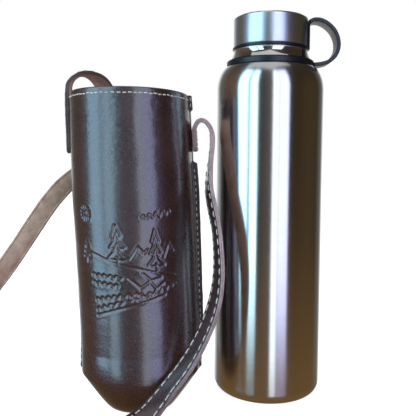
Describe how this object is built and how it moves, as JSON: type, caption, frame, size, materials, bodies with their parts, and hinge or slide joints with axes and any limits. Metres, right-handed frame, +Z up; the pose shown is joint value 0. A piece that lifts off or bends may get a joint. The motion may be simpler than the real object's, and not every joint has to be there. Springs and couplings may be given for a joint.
{
  "type": "insulated canteen with carrying case",
  "caption": "Tall brushed steel vacuum bottle with a screw lid and rubber carry loop, beside its stitched leather case with a shoulder strap.",
  "frame": {"origin": "centre of the bottle's base, on the surface it stands on", "axes": "+Z up along the bottle's axis, +X from the bottle towards its carry loop and away from the case, -Y towards the decorated front of the case"},
  "size_m": [0.3336, 0.1719, 0.3021],
  "materials": {
    "body_steel": "fine horizontal brushing with a polished neck band",
    "liner_steel": "satin",
    "getter_metal": "matt",
    "plug_plastic": "moulded, satin",
    "foam": "rigid foam",
    "seal_silicone": "soft satin",
    "loop_rubber": "smooth matt rubber",
    "case_leather": "semi-gloss pebbled grain",
    "suede": "rough flesh side",
    "thread": "waxed thread"
  },
  "bodies": {
    "bottle": {"outer_shell": "body_steel", "inner_liner": "liner_steel", "base_plate": "body_steel", "vacuum_getter": "getter_metal"},
    "lid_seal": {"lid_gasket": "seal_silicone"},
    "lid": {"lid_shell": "body_steel", "lid_plug": "plug_plastic", "lid_insulation": "foam"},
    "neck_loop": {"neck_ring": "loop_rubber"},
    "lid_loop": {"lid_ring": "loop_rubber", "loop_band": "loop_rubber"},
    "carrier": {"case_panel": "case_leather", "case_lining": "suede", "rim_stitches": "thread", "left_seam_stitches": "thread", "right_seam_stitches": "thread", "corner_stitches": "thread", "strap_outer": "case_leather", "strap_lining": "suede", "strap_stitches": "thread", "left_anchor_stitches": "thread", "right_anchor_stitches": "thread"}
  },
  "joints": [
    {"name": "lid_rise", "type": "slide", "parent": "bottle", "child": "lid_seal", "axis": [0, 0, 1], "range_m": [0, 0.0241]},
    {"name": "lid_turn", "type": "hinge", "parent": "lid_seal", "child": "lid", "pos_m": [0, 0, 0.29], "axis": [0, 0, 1], "range_deg": [0, 1080]},
    {"name": "loop_swivel", "type": "hinge", "parent": "bottle", "child": "neck_loop", "pos_m": [0, 0, 0.26525], "axis": [0, 0, 1], "continuous": true},
    {"name": "loop_rise", "type": "slide", "parent": "neck_loop", "child": "lid_loop", "axis": [0, 0, 1], "range_m": [0, 0.0241]},
    {"name": "case_slide", "type": "slide", "parent": "bottle", "child": "carrier", "axis": [-1, 0, 0], "range_m": [0, 0.12]}
  ],
  "couplings": [
    {"joint": "lid_rise", "follows": "lid_turn", "m_per_rad": 0.0012732},
    {"joint": "loop_rise", "follows": "lid_turn", "m_per_rad": 0.0012732}
  ]
}
